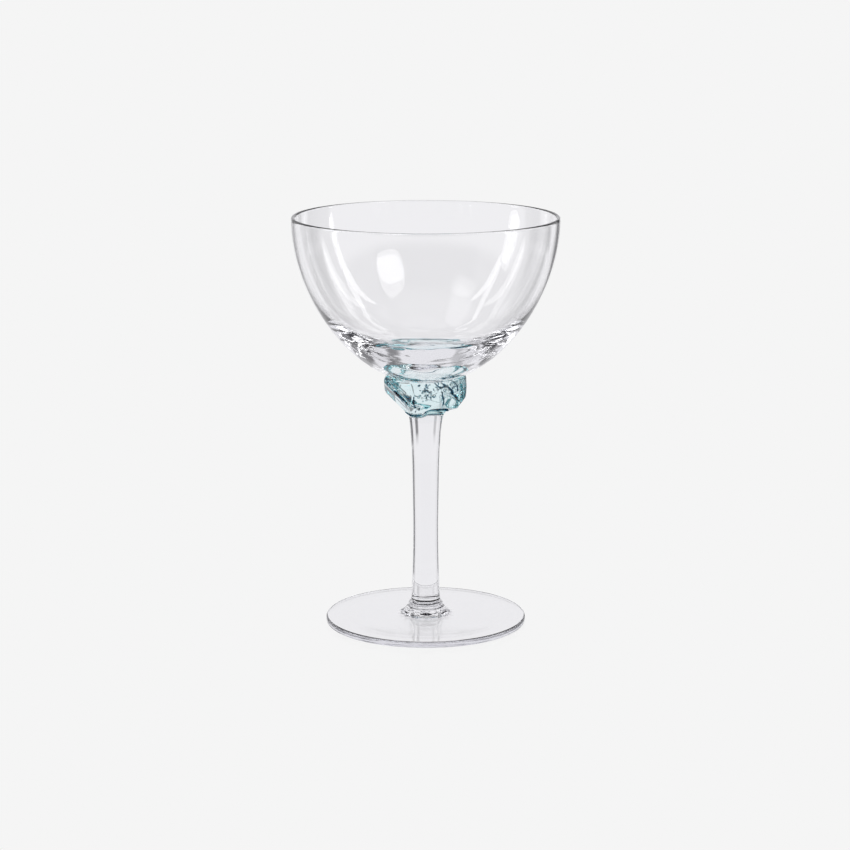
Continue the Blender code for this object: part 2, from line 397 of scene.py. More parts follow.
# Creases pressed into the skin: end points across and up, then half width and depth
CREASES = (
    (-0.0146, 0.1017, -0.0062, 0.0943, 0.00045, 0.00095),
    (-0.0145, 0.1040, -0.0085, 0.0995, 0.00025, 0.00025),
    (0.0062, 0.0985, 0.0068, 0.0920, 0.00035, 0.00080),
    (0.0062, 0.0985, 0.0098, 0.0988, 0.00040, 0.00050),
    (0.0098, 0.0988, 0.0136, 0.0955, 0.00045, 0.00095),
    (0.0070, 0.1042, 0.0076, 0.0998, 0.00050, 0.00080),
    (0.0142, 0.1040, 0.0146, 0.0985, 0.00050, 0.00070),
    (-0.0046, 0.0940, -0.0018, 0.0932, 0.00060, 0.00080),
)
# Crumpled patches: azimuth in degrees, height, size, depth
CRUMPLES = (
    (12, 0.1000, 0.0030, 0.00028),
    (46, 0.1020, 0.0034, 0.00022),
    (80, 0.1000, 0.0040, 0.00025),
    (150, 0.0975, 0.0050, 0.00025),
    (-130, 0.0985, 0.0045, 0.00020),
)
CRUMPLE_GIRTH = 0.0165      # distance from the axis at which the patches are laid out
CRUMPLE_SQUASH = 1.3        # the patches are wider than high by this factor
# Waves of the crumpling, in radians per metre. The first of each pair makes the dents, and the
# second only bends the first of the other pair.
CRUMPLE_ACROSS = (4300, 3100)
CRUMPLE_UP = (2900, 2600)
CRUMPLE_BEND = (1.7, 1.3)
NECK_RISE = 0.0010          # the skin swells out from the joint within this height
SHOULDER = 0.0016           # height of the rounded shoulder under the bowl
SHOULDER_INSET = 0.0014
SEAT_FIRST_Z = 0.1045       # first guess of the upper edge's height, and the tries to settle it
SEAT_TRIES = 40
ROW_CROWDING = 1.25         # the skin's rows crowd towards the stem
BUBBLE_SEED = 4
BUBBLE_STRAY = 1.8          # most that a bubble strays from its swarm, in spreads
BUBBLE_SPREAD = (1.0, 0.45, 0.8)      # share of the spread across, front to back and up
BUBBLE_SIZES = (0.45, 1.25)      # least and greatest factor on the size, then on each axis
BUBBLE_STRETCH = (0.6, 1.5)
BUBBLE_THICK = 0.4          # most share of the shell that a bubble takes up
# Swarms of trapped bubbles: middle across, front to back and up, spread, size, how many
BUBBLES = (
    (0.0002, -0.0140, 0.0985, 0.0015, 0.00046, 26),
    (0.0036, -0.0138, 0.1005, 0.0011, 0.00030, 10),
    (0.0080, -0.0120, 0.1010, 0.0010, 0.00042, 9),
    (-0.0032, -0.0125, 0.0932, 0.0006, 0.00050, 6),
    (0.0138, -0.0060, 0.1005, 0.0014, 0.00036, 8),
)
# Clear core drawn down from the bowl: height above the joint and the most it may reach
CORE = ((0.0000, 0.0064), (0.0012, 0.0100), (0.0030, 0.0150), (0.0170, 0.0170))
CORE_GAP = 0.00015
SHELL = 0.0017              # turquoise glass over the clear core
# Seams of dark glass that paint the shade of the joint lines, from and to these azimuths: inset
# from the edge, distance from the joint, and half thickness at both ends
SEAM_AT_STEM = (
    (-6, 80, -0.0002, 0.0000, 0.00065, 0.00100),
    (2, 78, -0.0004, 0.0004, 0.00040, 0.00070),
    (-80, -2, -0.0001, 0.0000, 0.00025, 0.00040),
    (95, 275, -0.0001, 0.0000, 0.00035, 0.00030),
)
SEAM_AT_BOWL = (
    (85, 275, 0.0010, 0.0008, 0.00065, 0.00065),
    (-95, 95, 0.0010, 0.0006, 0.00018, 0.00018),
)
# Folds of turquoise glass under the skin, with painted shade: stations of azimuth and height, half
# thickness
FOLDS = (
    (((-88, 0.1040), (-88, 0.0996)), 0.00060),
    (((-84, 0.0993), (-60, 0.0948), (-40, 0.0920)), 0.00060),
    (((-58, 0.0993), (-41, 0.0952), (-31, 0.0938)), 0.00070),
    (((-17, 0.0985), (-19, 0.0950), (-19, 0.0930)), 0.00050),
    (((24, 0.1003), (27, 0.0970), (29, 0.0938)), 0.00042),
    (((28, 0.1032), (42, 0.1005), (55, 0.0972), (66, 0.0938)), 0.00065),
    (((14, 0.1036), (24, 0.1016), (34, 0.1022)), 0.00045),
    (((88, 0.1040), (88, 0.0969), (82, 0.0920)), 0.00050),
    (((48, 0.1038), (58, 0.1010), (60, 0.0985)), 0.00045),
    (((150, 0.1030), (160, 0.0990), (140, 0.0950)), 0.00050),
    (((-150, 0.1030), (-135, 0.0985), (-150, 0.0940)), 0.00050),
)
FOLD_COVER = 0.00010        # glass over a fold
FOLD_STEPS = 60
FOLD_SIDES = 10
FOLD_TIP = 0.03             # how blunt a thread's ends are
FOLD_MEAN = 0.85            # mean share of its full thickness, and the waves along it: share,
FOLD_WAVES = ((0.15, 17, 1.0), (0.10, 31, 0.0))    # how closely they lie, phase
SPECK_SEED = 9
SPECK_STRAY = 1.6           # most that a speck strays from its swarm, in spreads
SPECK_LENGTHS = (0.7, 2.0)  # least and greatest factor on the size
SPECK_WIDTHS = (0.5, 1.0)
SPECK_STEPS = 8
SPECK_TIP = 1.02            # above 1, so that the ends are not quite points
# Swarms of dark specks, in the threads' painted shade: azimuth, height, spread, size, how many
SPECKS = (
    (1, 0.1000, 0.0018, 0.00030, 34),
    (-15, 0.0932, 0.0012, 0.00042, 9),
    (26, 0.1018, 0.0015, 0.00028, 14),
    (52, 0.1012, 0.0014, 0.00030, 12),
)
FOLD_LAYERS = (1.0, 0.7, 0.4)    # nested skins of a fold, as shares of its thickness


def facet_radius(theta, z):
    """Distance from the axis to the faceted nugget at an azimuth and height."""
    total = np.zeros(np.broadcast(theta, z).shape)
    for azimuth, tilt, distance in FACETS:
        turn = np.cos(theta - math.radians(azimuth))
        reach = math.cos(math.radians(tilt)) * np.maximum(turn, FACET_GRAZE)
        r = (distance - math.sin(math.radians(tilt)) * (z - KNOP_CENTER_Z)) / reach
        total += np.exp(-np.clip(r, 0, FACET_FAR) / FACET_ROUND)
    return -FACET_ROUND * np.log(total)


def lobe_radius(theta, z, lobe):
    """Distance from the axis to a lobe's far side, or 0 where the ray misses it."""
    azimuth, away, height, across, up = lobe
    turn = theta - math.radians(azimuth)
    slice_sq = across ** 2 * (1 - ((z - height) / up) ** 2)
    under = slice_sq - (away * np.sin(turn)) ** 2
    r = away * np.cos(turn) + np.sqrt(np.maximum(under, 0))
    return np.where((under > 0) & (np.cos(turn) > 0), r, 0.0)


def crease_depth(x, z):
    """Depth pressed into the front at a place across and up."""
    depth = np.zeros(np.broadcast(x, z).shape)
    for x0, z0, x1, z1, half, deep in CREASES:
        dx, dz = x1 - x0, z1 - z0
        t = np.clip(((x - x0) * dx + (z - z0) * dz) / (dx * dx + dz * dz), 0, 1)
        away = np.hypot(x - x0 - t * dx, z - z0 - t * dz)
        depth = np.maximum(depth, deep * np.exp(-(away / half) ** 2))
    return depth


def crumple(theta, z):
    """Small dents where the glass crazed."""
    x = theta * CRUMPLE_GIRTH
    wave = (np.sin(x * CRUMPLE_ACROSS[0] + CRUMPLE_BEND[0] * np.sin(z * CRUMPLE_UP[1]))
            * np.sin(z * CRUMPLE_UP[0] + CRUMPLE_BEND[1] * np.sin(x * CRUMPLE_ACROSS[1])))
    dents = np.zeros(wave.shape)
    for azimuth, height, size, depth in CRUMPLES:
        away = np.hypot(turn_from(theta, azimuth) * CRUMPLE_GIRTH, (z - height) * CRUMPLE_SQUASH)
        dents += depth * np.exp(-(away / size) ** 2) * wave
    return dents


def joint_z(theta):
    """Wavy height of the joint between knop and stem: highest at the front, a bit to the right."""
    front = turn_from(theta, JOINT_PEAK_AT)
    peak = JOINT_PEAK / (1 + np.exp((JOINT_PEAK_FROM - front) / JOINT_PEAK_FROM_SOFT))
    peak = peak / (1 + np.exp((front - JOINT_PEAK_TO) / JOINT_PEAK_TO_SOFT))
    dip = JOINT_DIP * np.exp(-(turn_from(theta, JOINT_DIP_AT) / JOINT_DIP_WIDTH) ** 2)
    return JOINT_Z + peak - dip + JOINT_WAVE * np.sin(3 * theta + JOINT_WAVE_PHASE)


def joint_radius(theta):
    once, twice = JOINT_SWING
    return JOINT_RADIUS + once * np.sin(theta) + twice * np.sin(2 * theta + JOINT_SWING_PHASE)


def knop_radius(theta, z):
    r = facet_radius(theta, z)
    for lobe in LOBES:
        r = smooth_max(r, lobe_radius(theta, z, lobe), LOBE_BLEND)
    front = np.cos(theta) > 0
    r = r + crumple(theta, z) - crease_depth(r * np.sin(theta), z) * front
    above = np.clip((z - joint_z(theta)) / NECK_RISE, 0, 1)
    r = joint_radius(theta) + (r - joint_radius(theta)) * np.sqrt(above)
    into = np.clip((z - (bowl_under_z(r - SHOULDER_INSET) - SHOULDER)) / SHOULDER, 0, 1)
    return r - SHOULDER_INSET * (1 - np.sqrt(1 - into ** 2))


def knop_top(theta):
    """Height and radius of the knop's upper edge, where it meets the bowl's underside."""
    z = np.full_like(theta, SEAT_FIRST_Z)
    for _ in range(SEAT_TRIES):
        z = 0.5 * z + 0.5 * bowl_under_z(knop_radius(theta, z))
    return z, knop_radius(theta, z)


def bubble_meshes(first):
    """Vertices and inward-facing faces of the trapped bubbles, numbered from the first vertex."""
    ball = bmesh.new()
    bmesh.ops.create_icosphere(ball, subdivisions=2, radius=1.0)
    shape = np.array([v.co for v in ball.verts])
    index = [tuple(v.index for v in reversed(f.verts)) for f in ball.faces]
    ball.free()
    rng = np.random.default_rng(BUBBLE_SEED)
    verts = []
    faces = []
    for across, depth, height, spread, size, count in BUBBLES:
        for _ in range(count):
            shift = np.clip(rng.normal(0, 1, 3), -BUBBLE_STRAY, BUBBLE_STRAY)
            center = np.array((across, depth, height)) + shift * spread * BUBBLE_SPREAD
            scale = size * rng.uniform(*BUBBLE_SIZES) * rng.uniform(*BUBBLE_STRETCH, 3)
            scale[1] = min(scale[1], SHELL * BUBBLE_THICK)
            turn = rng.uniform(0, math.pi)
            c, w = math.cos(turn), math.sin(turn)
            ball_verts = shape * scale @ np.array(((c, 0, -w), (0, 1, 0), (w, 0, c)))
            azimuth = math.atan2(center[0], -center[1])
            skin = float(knop_radius(np.array(azimuth), np.array(center[2])))
            center[:2] *= (skin - SHELL / 2) / math.hypot(center[0], center[1])
            faces.extend(tuple(first + len(verts) + i for i in face) for face in index)
            verts.extend(center + ball_verts)
    return np.array(verts), faces


def thread(points, half):
    """Closed tube along points that don't lie on the axis."""
    along = np.gradient(points, axis=0)
    out = points * (1, 1, 0)
    out /= np.linalg.norm(out, axis=1)[:, None]
    across = np.cross(along, out)
    across /= np.linalg.norm(across, axis=1)[:, None]
    turn = np.linspace(0, math.tau, FOLD_SIDES, endpoint=False)[:, None]
    rings = (points[:, None] + half[:, None, None]
             * (np.cos(turn) * out[:, None] + np.sin(turn) * across[:, None]))
    verts = np.vstack([points[:1], rings.reshape(-1, 3), points[-1:]])
    return verts, ring_faces(len(points), FOLD_SIDES)


def tapered(first, last):
    """Half thickness along a thread, uneven and pinched at both ends."""
    share = np.linspace(0, 1, FOLD_STEPS)
    pinch = np.sqrt(np.sin(math.pi * (FOLD_TIP + (1 - 2 * FOLD_TIP) * share)))
    uneven = FOLD_MEAN + sum(a * np.sin(n * share + phase) for a, n, phase in FOLD_WAVES)
    return (first + (last - first) * share) * pinch * uneven


def threads_object(name, lines):
    """One object of closed tubes, each in nested layers, from points and half thicknesses."""
    parts = []
    for points, half in lines:
        parts.extend(thread(points, half * share) for share in FOLD_LAYERS)
    verts = []
    faces = []
    for part_verts, part_faces in parts:
        first = sum(len(v) for v in verts)
        verts.append(part_verts)
        corners = np.array([face[:3] for face in part_faces])
        a, b, c = (part_verts[corners[:, i]] - part_verts[0] for i in range(3))
        flip = np.einsum("ij,ij->i", a, np.cross(b, c)).sum() < 0
        for face in part_faces:
            face = face[::-1] if flip else face
            faces.append(tuple(first + i for i in face))
    verts = np.vstack(verts)
    return make_object(name, verts, faces, np.full(len(verts), FUSED))


def build_painted_shade_lines():
    """Dark lines of painted shade where the stem was joined to the foot."""
    lines = []
    for start, end, height, away, thick in PAINTED_SHADE_LINES:
        theta = np.radians(np.linspace(start, end, FOLD_STEPS))
        z = height + SHADE_LINE_WAVE * np.sin(SHADE_LINE_WAVES * theta + height * SHADE_LINE_PHASE)
        lines.append((around(theta, away + 0 * theta, z), tapered(thick, thick)))
    return threads_object("stem_painted_shade_lines", lines)


def build_threads():
    """Seams, folds and specks of turquoise glass inside the knop, darkened by painted shade."""
    lines = []
    for start, end, inset, gap, first, last in SEAM_AT_STEM:
        theta = np.radians(np.linspace(start, end, FOLD_STEPS))
        lines.append((around(theta, joint_radius(theta) - inset, joint_z(theta) + gap),
                      tapered(first, last)))
    for start, end, inset, gap, first, last in SEAM_AT_BOWL:
        theta = np.radians(np.linspace(start, end, FOLD_STEPS))
        r = knop_top(theta)[1] - inset
        lines.append((around(theta, r, bowl_under_z(r) - gap), tapered(first, last)))
    for stations, thick in FOLDS:
        curve = smooth_through(stations, FOLD_STEPS)[:, ::-1]
        at = np.linspace(0, len(curve) - 1, FOLD_STEPS)
        theta = np.radians(np.interp(at, np.arange(len(curve)), curve[:, 0]))
        z = np.interp(at, np.arange(len(curve)), curve[:, 1])
        r = knop_radius(theta, z) - thick - FOLD_COVER
        lines.append((around(theta, r, z), tapered(thick, thick)))
    rng = np.random.default_rng(SPECK_SEED)
    for azimuth, height, spread, size, count in SPECKS:
        for _ in range(count):
            shift = np.clip(rng.normal(0, 1, 2), -SPECK_STRAY, SPECK_STRAY) * spread
            length = size * rng.uniform(*SPECK_LENGTHS)
            turn = rng.uniform(0, math.pi)
            thick = size * rng.uniform(*SPECK_WIDTHS)
            share = np.linspace(-1, 1, SPECK_STEPS)
            z = height + shift[1] + share * length * math.sin(turn)
            theta = (math.radians(azimuth)
                     + (shift[0] + share * length * math.cos(turn)) / KNOP_REACH)
            r = knop_radius(theta, z) - SHELL / 2
            lines.append((around(theta, r, z), thick * np.sqrt(SPECK_TIP - share ** 2)))
    return threads_object("knop_painted_shade_threads", lines)


def core_mesh(first):
    """Inward-facing skin of the clear core inside the turquoise glass."""
    theta = -math.pi + np.arange(KNOP_SEGMENTS) * math.tau / KNOP_SEGMENTS
    heights, radii = np.array(CORE).T
    low_z = joint_z(theta) + CORE_GAP
    rows = []
    for share in np.linspace(0, 1, CAP_ROWS + 1)[1:]:
        z = low_z * share ** 2 + (JOINT_Z + CORE_GAP) * (1 - share ** 2)
        rows.append(np.stack([radii[0] * share * np.ones_like(z), z], 1))
    _, edge = knop_top(theta)
    top_r = edge - SHELL
    top_z = bowl_under_z(top_r) - CORE_GAP
    for share in np.linspace(0, 1, CAP_ROWS * 3 + 1)[1:]:
        z = low_z + (top_z - low_z) * share
        skin = np.minimum(knop_radius(theta, z), edge * share + 1 - share) - SHELL
        rows.append(np.stack([np.minimum(np.interp(z - low_z, heights, radii), skin), z], 1))
    for share in np.linspace(1, 0, CAP_ROWS + 1)[1:-1]:
        r = top_r * share
        rows.append(np.stack([r, bowl_under_z(r) - CORE_GAP], 1))
    grid = on_rows(np.array(rows), theta)
    verts = np.vstack([[0, 0, JOINT_Z + CORE_GAP], grid, [0, 0, BOWL_BASE_Z - CORE_GAP]])
    faces = [tuple(first + i for i in reversed(f)) for f in ring_faces(len(rows), KNOP_SEGMENTS)]
    return verts, faces


def build_knop():
    theta = -math.pi + np.arange(KNOP_SEGMENTS) * math.tau / KNOP_SEGMENTS
    low_z, low_r = joint_z(theta), joint_radius(theta)
    top_z, top_r = knop_top(theta)
    rows = []
    marks = []
    for share in np.linspace(0, 1, CAP_ROWS + 1)[1:]:
        z = low_z * share ** 2 + JOINT_Z * (1 - share ** 2)
        rows.append(np.stack([low_r * share, z], 1))
        marks.append((1 - share) * JOINT_RADIUS)
    for share in np.linspace(0, 1, KNOP_ROWS + 1)[1:] ** ROW_CROWDING:
        z = low_z + (top_z - low_z) * share
        rows.append(np.stack([knop_radius(theta, z), z], 1))
        marks.append(-(1 - abs(2 * share - 1)) * FREE_SKIN)
    marks[-1] = 0.0
    for share in np.linspace(1, 0, CAP_ROWS + 1)[1:-1]:
        r = top_r * share
        rows.append(np.stack([r, bowl_under_z(r) - SKIN_GAP], 1))
        marks.append((1 - share) * JOINT_RADIUS)
    rows[CAP_ROWS + KNOP_ROWS - 1][:, 1] -= SKIN_GAP
    grid = on_rows(np.array(rows), theta)
    verts = np.vstack([[0, 0, JOINT_Z], grid, [0, 0, BOWL_BASE_Z - SKIN_GAP]])
    fused = np.concatenate([[FUSED], np.repeat(marks, KNOP_SEGMENTS), [FUSED]])
    bubbles, bubble_faces = bubble_meshes(len(verts))
    verts = np.vstack([verts, bubbles])
    faces = ring_faces(len(rows), KNOP_SEGMENTS) + bubble_faces
    fused = np.concatenate([fused, np.full(len(verts) - len(fused), NOT_FUSED)])
    core, core_faces = core_mesh(len(verts))
    fused = np.concatenate([fused, np.full(len(core), FUSED)])
    return make_object("knop_glass", np.vstack([verts, core]), faces + core_faces, fused)


# ---------------------------------------------------------------- bowl, stem and foot

def ripple(x, y):
    """Slow ripples left in the heavy base by the tools, about -1 to 1."""
    def waves(rows, bend):
        return sum(share * np.sin(x * across + y * back + phase + bent * bend)
                   for share, across, back, phase, bent in rows)
    return waves(RIPPLES, waves(RIPPLE_BEND, 0))


def bowl_warp(verts):
    """Slow unevenness of blown glass: the side leans a little and the heavy base ripples."""
    theta = azimuth_of(verts)
    r = np.hypot(verts[:, 0], verts[:, 1])
    height = verts[:, 2] - BOWL_BASE_Z
    lean = LEAN * (np.sin(2 * theta + LEAN_PHASE) - 1) * np.clip(height / LEAN_RISE, 0, 1)
    out = scaled_across(verts, 1 + lean / np.maximum(r, LEAN_CLEAR))
    inner = verts[:, 2] - bowl_under_z(r) > SIDE_WALL * INNER_SHARE
    reach = np.clip((RIPPLE_REACH - r) / RIPPLE_FADE, 0, 1)
    wave = ripple(verts[:, 0], verts[:, 1])
    out[:, 2] += np.where(inner, RIPPLE_INSIDE * reach * wave, 0)
    bare = np.clip((r - RIPPLE_BARE) / RIPPLE_BARE_FADE, 0, 1) * reach
    wave = ripple(verts[:, 0] + RIPPLE_SHIFT[0], verts[:, 1] + RIPPLE_SHIFT[1])
    out[:, 2] += np.where(inner, 0, RIPPLE_OUTSIDE * bare * wave)
    return out


def bowl_fused(verts):
    theta = azimuth_of(verts)
    r = np.hypot(verts[:, 0], verts[:, 1])
    _, edge = knop_top(theta)
    under = np.abs(verts[:, 2] - bowl_under_z(r)) < CONTACT
    return np.where(under, edge - r, NOT_FUSED)


def build_bowl():
    center = (RIM_RADIUS - RIM_WALL / 2, RIM_Z - RIM_WALL / 2)
    rim = arc(center, RIM_WALL / 2, 0, 180, RIM_STEPS)
    outline = np.vstack([bowl_outer(BOWL_STEPS)[:-1], rim, bowl_inner(BOWL_STEPS)[-2::-1]])
    return turned("bowl_glass", outline, BOWL_SEGMENTS, bowl_warp, bowl_fused)


def stem_warp(verts):
    """The collar follows the wavy joint."""
    theta = azimuth_of(verts)
    r = np.hypot(verts[:, 0], verts[:, 1])
    up = np.clip((verts[:, 2] - COLLAR_Z) / (JOINT_Z - COLLAR_Z), 0, 1) ** 2
    out = scaled_across(verts, 1 + (joint_radius(theta) / JOINT_RADIUS - 1) * up)
    out[:, 2] += (joint_z(theta) - JOINT_Z) * up * np.clip(r / JOINT_RADIUS, 0, 1) ** 2
    return out


def stem_fused(verts):
    r = np.hypot(verts[:, 0], verts[:, 1])
    theta = azimuth_of(verts)
    share = np.clip(r / JOINT_RADIUS, 0, 1) ** 2
    at_top = verts[:, 2] > joint_z(theta) * share + JOINT_Z * (1 - share) - CAP_CATCH
    at_foot = verts[:, 2] < STEM_BEAD_Z + CONTACT / 2
    value = np.where(at_top, joint_radius(theta) - r, NOT_FUSED)
    return np.where(at_foot, STEM_SHAPE[0][1] - r, value)


def build_stem():
    side = smooth_through(STEM_SHAPE, STEM_STEPS)
    side[:, 1] -= SKIN_GAP * (side[:, 1] >= JOINT_Z - ROUNDING)
    cap = np.linspace(0, 1, CAP_ROWS + 1)[:-1, None]
    low = np.hstack([cap * side[0, 0], np.full_like(cap, side[0, 1])])
    high = np.hstack([cap[::-1] * side[-1, 0], np.full_like(cap, side[-1, 1])])
    outline = np.vstack([low, side, high])
    return turned("stem_glass", outline, STEM_SEGMENTS, stem_warp, stem_fused)


def foot_warp(verts):
    """Small lumps round the boss's spread."""
    theta = azimuth_of(verts)
    r = np.hypot(verts[:, 0], verts[:, 1])
    ring = np.exp(-((r - LUMP_RADIUS) / LUMP_REACH) ** 2)
    above = verts[:, 2] > foot_under(r) + FOOT_EDGE / 2
    out = verts.copy()
    lumps = sum(share * np.sin(count * theta + phase) for share, count, phase in LUMPS)
    out[:, 2] += LUMP_HEIGHT * lumps * ring * above
    return out


def foot_fused(verts):
    r = np.hypot(verts[:, 0], verts[:, 1])
    return np.where(verts[:, 2] > STEM_BEAD_Z - CONTACT, BOSS_RADIUS - r, NOT_FUSED)


def foot_under(r):
    """Underside of the foot: a flat standing ring with a shallow kick inside it."""
    return FOOT_KICK * (1 - np.clip(r / FOOT_RING_INNER, 0, 1) ** 2) ** 2


def foot_top(r):
    """Top of the foot, which keeps nearly the same thickness from the ring to the boss."""
    return foot_under(r) + FOOT_EDGE + FOOT_SWELL * (1 - np.clip(r / FOOT_RING_INNER, 0, 1) ** 2)


def build_foot():
    half = FOOT_EDGE / 2
    top_z = STEM_BEAD_Z - SKIN_GAP
    edge_start = FOOT_RADIUS - FOOT_ROUND
    r = np.linspace(0, edge_start, EDGE_STEPS * 6)[:, None]
    under = np.hstack([r, foot_under(r)])[:-1]
    low = arc((edge_start, FOOT_ROUND), FOOT_ROUND, -90, 0, EDGE_STEPS)
    high = arc((edge_start, FOOT_EDGE - FOOT_ROUND), FOOT_ROUND, 0, 90, EDGE_STEPS)
    r = np.linspace(edge_start, BOSS_OUTER, EDGE_STEPS * 5)[1:-1, None]
    top = np.hstack([r, foot_top(r)])
    root_z = float(foot_top(BOSS_OUTER))
    boss = bezier((BOSS_OUTER, root_z), (BOSS_RADIUS + half, root_z),
                  (BOSS_RADIUS + half, top_z), (BOSS_RADIUS, top_z), EDGE_STEPS)
    cap = np.linspace(boss[-1], (0, top_z), CAP_ROWS)[1:]
    outline = np.vstack([under, low, high, top, boss, cap])
    return turned("foot_glass", outline, FOOT_SEGMENTS, foot_warp, foot_fused)


# ---------------------------------------------------------------- materials

def new_material(name):
    material = bpy.data.materials.new(name)
    material.use_nodes = True
    tree = material.node_tree
    tree.nodes.clear()
    return material, tree


def math_node(tree, operation, *values):
    node = tree.nodes.new("ShaderNodeMath")
    node.operation = operation
    for socket, value in zip(node.inputs, values):
        if isinstance(value, (int, float)):
            socket.default_value = value
        else:
            tree.links.new(value, socket)
    return node.outputs[0]


def vector_node(tree, operation, vector, fixed=None):
    """A vector node's outputs. Its second vector, if it takes one, is fixed."""
    node = tree.nodes.new("ShaderNodeVectorMath")
    node.operation = operation
    tree.links.new(vector, node.inputs[0])
    if fixed is not None:
        node.inputs[1].default_value = fixed
    return node.outputs


def spread_out(tree, value, low, high):
    """A value from 0 to 1, spread from low to high."""
    node = tree.nodes.new("ShaderNodeMapRange")
    node.inputs["To Min"].default_value = low
    node.inputs["To Max"].default_value = high
    tree.links.new(value, node.inputs["Value"])
    return node.outputs[0]


def smooth_step(tree, value, start, end, top=1.0):
    """0 at the start, rising softly to the top at the end."""
    node = tree.nodes.new("ShaderNodeMapRange")
    node.interpolation_type = "SMOOTHSTEP"
    node.inputs["From Min"].default_value = start
    node.inputs["From Max"].default_value = end
    node.inputs["To Max"].default_value = top
    tree.links.new(value, node.inputs["Value"])
    return node.outputs[0]


def glass(name, tint, density, cords, roughness, painted_shade=(1, 1, 1)):
    """Glass that is tinted by depth, with faint cords, and no boundary where it is fused."""
    material, tree = new_material(name)
    nodes, links = tree.nodes, tree.links
    out = nodes.new("ShaderNodeOutputMaterial")
    shader = nodes.new("ShaderNodeBsdfPrincipled")
    # the base colour is painted shade for the dark threads and lines, and white on plain glass
    shader.inputs["Base Color"].default_value = (*painted_shade, 1)
    shader.inputs["Transmission Weight"].default_value = 1.0
    absorb = nodes.new("ShaderNodeVolumeAbsorption")
    absorb.inputs["Color"].default_value = (*tint, 1)
    absorb.inputs["Density"].default_value = density
    links.new(shader.outputs["BSDF"], out.inputs["Surface"])
    links.new(absorb.outputs["Volume"], out.inputs["Volume"])

    fused = nodes.new("ShaderNodeAttribute")
    fused.attribute_name = "fused"
    inside = math_node(tree, "GREATER_THAN", fused.outputs["Fac"], 0.0)
    links.new(spread_out(tree, inside, GLASS_IOR, FUSED_IOR), shader.inputs["IOR"])

    place = nodes.new("ShaderNodeTexCoord")
    spread = nodes.new("ShaderNodeMapping")
    spread.inputs["Scale"].default_value = CORD_SCALE
    noise = nodes.new("ShaderNodeTexNoise")
    noise.inputs["Scale"].default_value = 1.0
    noise.inputs["Detail"].default_value = CORD_DETAIL
    links.new(place.outputs["Object"], spread.inputs["Vector"])
    links.new(spread.outputs["Vector"], noise.inputs["Vector"])
    links.new(spread_out(tree, noise.outputs["Fac"], 0.0, roughness), shader.inputs["Roughness"])
    bump = nodes.new("ShaderNodeBump")
    bump.inputs["Strength"].default_value = cords
    bump.inputs["Distance"].default_value = CORD_HEIGHT
    links.new(noise.outputs["Fac"], bump.inputs["Height"])
    links.new(bump.outputs["Normal"], shader.inputs["Normal"])
    return material


# ---------------------------------------------------------------- studio

def direction(azimuth, elevation):
    """Unit vector: azimuth 0 points to the front and grows towards +X."""
    a, e = math.radians(azimuth), math.radians(elevation)
    return Vector((math.sin(a) * math.cos(e), -math.cos(a) * math.cos(e), math.sin(e)))


def sheet(name, half_width, half_height):
    """A flat sheet of one face, which faces along its own +Z."""
    mesh = bpy.data.meshes.new(name)
    w, h = half_width, half_height
    mesh.from_pydata([(-w, -h, 0), (w, -h, 0), (w, h, 0), (-w, h, 0)], [], [(0, 1, 2, 3)])
    obj = bpy.data.objects.new(name, mesh)
    bpy.context.scene.collection.objects.link(obj)
    return obj


def card(name, azimuth, elevation, distance, width, height, strength, edge):
    """A rounded light that faces the glass, and whose edge share fades out. It shows only in
    reflections: neither the camera nor a straight look through the glass sees it."""
    half_width, half_height = width / 2, height / 2
    panel = sheet(name, half_width, half_height)
    toward = direction(azimuth, elevation)
    panel.location = CARDS_FACE + toward * distance
    panel.rotation_euler = toward.to_track_quat("Z", "Y").to_euler()
    material, tree = new_material(name + "_light")
    nodes, links = tree.nodes, tree.links
    place = nodes.new("ShaderNodeTexCoord")
    even = vector_node(tree, "MULTIPLY", place.outputs["Object"],
                       (1 / half_width, 1 / half_height, 0))
    split = nodes.new("ShaderNodeSeparateXYZ")
    links.new(even["Vector"], split.inputs[0])
    sides = (math_node(tree, "ABSOLUTE", split.outputs[axis]) for axis in "XY")
    powers = (math_node(tree, "POWER", side, CARD_ROUNDING) for side in sides)
    away = math_node(tree, "ADD", *powers)
    lamp = nodes.new("ShaderNodeEmission")
    links.new(smooth_step(tree, away, 1.0, 1.0 - edge, strength), lamp.inputs["Strength"])
    gap = nodes.new("ShaderNodeBsdfTransparent")
    outside = math_node(tree, "GREATER_THAN", away, 1.0)
    path = nodes.new("ShaderNodeLightPath")
    straight = math_node(tree, "LESS_THAN", path.outputs["Glossy Depth"], 0.5)
    mix = nodes.new("ShaderNodeMixShader")
    links.new(math_node(tree, "MAXIMUM", outside, straight), mix.inputs["Fac"])
    links.new(lamp.outputs[0], mix.inputs[1])
    links.new(gap.outputs[0], mix.inputs[2])
    out = nodes.new("ShaderNodeOutputMaterial")
    links.new(mix.outputs[0], out.inputs["Surface"])
    panel.data.materials.append(material)
    panel.visible_camera = False
    panel.visible_shadow = False


def shade_of(tree, vector, sectors):
    """Depth of the shade, 0 where there is none, for a direction or a place from the glass."""
    flat = vector_node(tree, "MULTIPLY", vector, (1, 1, 0))
    unit = vector_node(tree, "NORMALIZE", flat["Vector"])
    total = 0.0
    for azimuth, half, depth in sectors:
        a = math.radians(azimuth)
        dot = vector_node(tree, "DOT_PRODUCT", unit["Vector"], (math.sin(a), math.cos(a), 0))
        inner = math.cos(math.radians(max(half - SHADE_SOFT, 0)))
        outer = math.cos(math.radians(half + SHADE_SOFT))
        shade = smooth_step(tree, dot["Value"], outer, inner)
        total = math_node(tree, "MAXIMUM", math_node(tree, "MULTIPLY", shade, depth), total)
    return total


